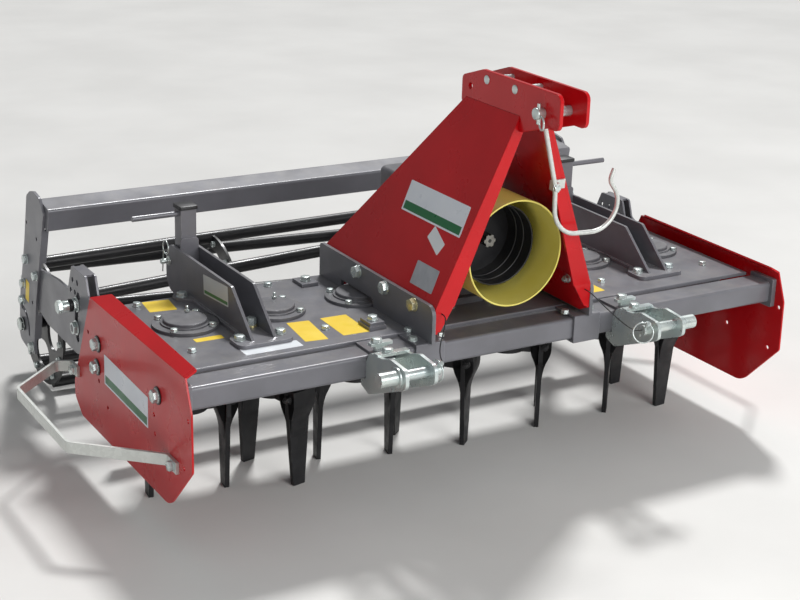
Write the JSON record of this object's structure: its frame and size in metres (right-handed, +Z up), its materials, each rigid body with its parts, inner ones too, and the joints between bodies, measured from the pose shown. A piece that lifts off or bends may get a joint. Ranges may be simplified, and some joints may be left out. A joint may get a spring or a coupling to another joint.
{
  "type": "mounted power harrow with cage roller",
  "caption": "Three-point mounted power harrow: vertical tine rotors under a gear trough, A-frame tower, side plates, guard bars and a rear cage roller.",
  "frame": {"origin": "on the ground, at the middle of the machine's length and width", "axes": "+X along the working width, -Y towards the tractor, +Y towards the roller, +Z up"},
  "size_m": [2.23, 1.6642, 1.123],
  "materials": {
    "grey_paint": "semi-gloss",
    "red_paint": "gloss",
    "black_paint": "gloss",
    "galvanised": "galvanised",
    "zinc_plate": "bright zinc",
    "yellow_plastic": "matte",
    "black_plastic": "matte",
    "label_film": "satin film"
  },
  "bodies": {
    "frame": {"trough": "grey_paint", "lid": "grey_paint", "rotor_covers": "grey_paint", "front_beam": "grey_paint", "gearbox": "grey_paint", "shaft_guard": "yellow_plastic", "guard_lining": "black_plastic", "tower_leg_left": "red_paint", "tower_leg_right": "red_paint", "mast_plate_left": "red_paint", "mast_plate_right": "red_paint", "tower_foot_left": "grey_paint", "tower_foot_right": "grey_paint", "mast_tubes": "zinc_plate", "top_link_pin": "zinc_plate", "hitch_clevis_left": "zinc_plate", "hitch_clevis_right": "zinc_plate", "hitch_pin_left": "zinc_plate", "hitch_pin_right": "zinc_plate", "side_plate_left": "red_paint", "side_plate_right": "red_paint", "side_guard_left": "galvanised", "side_guard_right": "galvanised", "leveller_bracket_left": "grey_paint", "leveller_bracket_right": "grey_paint", "depth_bracket_left": "grey_paint", "depth_bracket_right": "grey_paint", "arm_pivot_left": "zinc_plate", "arm_pivot_right": "zinc_plate", "hitch_saddle_left": "grey_paint", "hitch_saddle_right": "grey_paint", "hitch_bar_left": "zinc_plate", "hitch_bar_right": "zinc_plate", "pin_lanyard_left": "black_plastic", "pin_lanyard_right": "black_plastic", "shaft_hook": "galvanised"},
    "rotor_1": {"rotor_1": "black_paint"},
    "rotor_2": {"rotor_2": "black_paint"},
    "rotor_3": {"rotor_3": "black_paint"},
    "rotor_4": {"rotor_4": "black_paint"},
    "rotor_5": {"rotor_5": "black_paint"},
    "rotor_6": {"rotor_6": "black_paint"},
    "rotor_7": {"rotor_7": "black_paint"},
    "input_shaft": {"input_shaft": "zinc_plate"},
    "roller_frame": {"roller_arm_left": "grey_paint", "roller_arm_right": "grey_paint", "roller_plate_left": "grey_paint", "roller_plate_right": "grey_paint", "cross_bar": "grey_paint"},
    "roller": {"roller": "black_paint"},
    "leveller": {"leveller_board": "grey_paint", "leveller_upright_left": "grey_paint", "leveller_upright_right": "grey_paint"}
  },
  "joints": [
    {"name": "rotor_1_spin", "type": "hinge", "parent": "frame", "child": "rotor_1", "pos_m": [-0.75, -0.2415, 0.29], "axis": [0, 0, 1], "continuous": true},
    {"name": "rotor_2_spin", "type": "hinge", "parent": "frame", "child": "rotor_2", "pos_m": [-0.5, -0.2415, 0.29], "axis": [0, 0, 1], "continuous": true},
    {"name": "rotor_3_spin", "type": "hinge", "parent": "frame", "child": "rotor_3", "pos_m": [-0.25, -0.2415, 0.29], "axis": [0, 0, 1], "continuous": true},
    {"name": "rotor_4_spin", "type": "hinge", "parent": "frame", "child": "rotor_4", "pos_m": [0, -0.2415, 0.29], "axis": [0, 0, 1], "continuous": true},
    {"name": "rotor_5_spin", "type": "hinge", "parent": "frame", "child": "rotor_5", "pos_m": [0.25, -0.2415, 0.29], "axis": [0, 0, 1], "continuous": true},
    {"name": "rotor_6_spin", "type": "hinge", "parent": "frame", "child": "rotor_6", "pos_m": [0.5, -0.2415, 0.29], "axis": [0, 0, 1], "continuous": true},
    {"name": "rotor_7_spin", "type": "hinge", "parent": "frame", "child": "rotor_7", "pos_m": [0.75, -0.2415, 0.29], "axis": [0, 0, 1], "continuous": true},
    {"name": "input_shaft_spin", "type": "hinge", "parent": "frame", "child": "input_shaft", "pos_m": [0, -0.4415, 0.667], "axis": [0, -1, 0], "continuous": true},
    {"name": "roller_lift", "type": "hinge", "parent": "frame", "child": "roller_frame", "pos_m": [0, -0.0265, 0.372], "axis": [1, 0, 0], "range_deg": [-8, 8]},
    {"name": "roller_spin", "type": "hinge", "parent": "roller_frame", "child": "roller", "pos_m": [0, 0.6285, 0.205], "axis": [1, 0, 0], "continuous": true},
    {"name": "leveller_height", "type": "slide", "parent": "frame", "child": "leveller", "axis": [0, 0, 1], "range_m": [-0.06, 0.06]}
  ],
  "couplings": [
    {"joint": "rotor_1_spin", "follows": "rotor_4_spin", "ratio": -1},
    {"joint": "rotor_2_spin", "follows": "rotor_4_spin", "ratio": 1},
    {"joint": "rotor_3_spin", "follows": "rotor_4_spin", "ratio": -1},
    {"joint": "rotor_5_spin", "follows": "rotor_4_spin", "ratio": -1},
    {"joint": "rotor_6_spin", "follows": "rotor_4_spin", "ratio": 1},
    {"joint": "rotor_7_spin", "follows": "rotor_4_spin", "ratio": -1},
    {"joint": "input_shaft_spin", "follows": "rotor_4_spin", "ratio": 2}
  ]
}
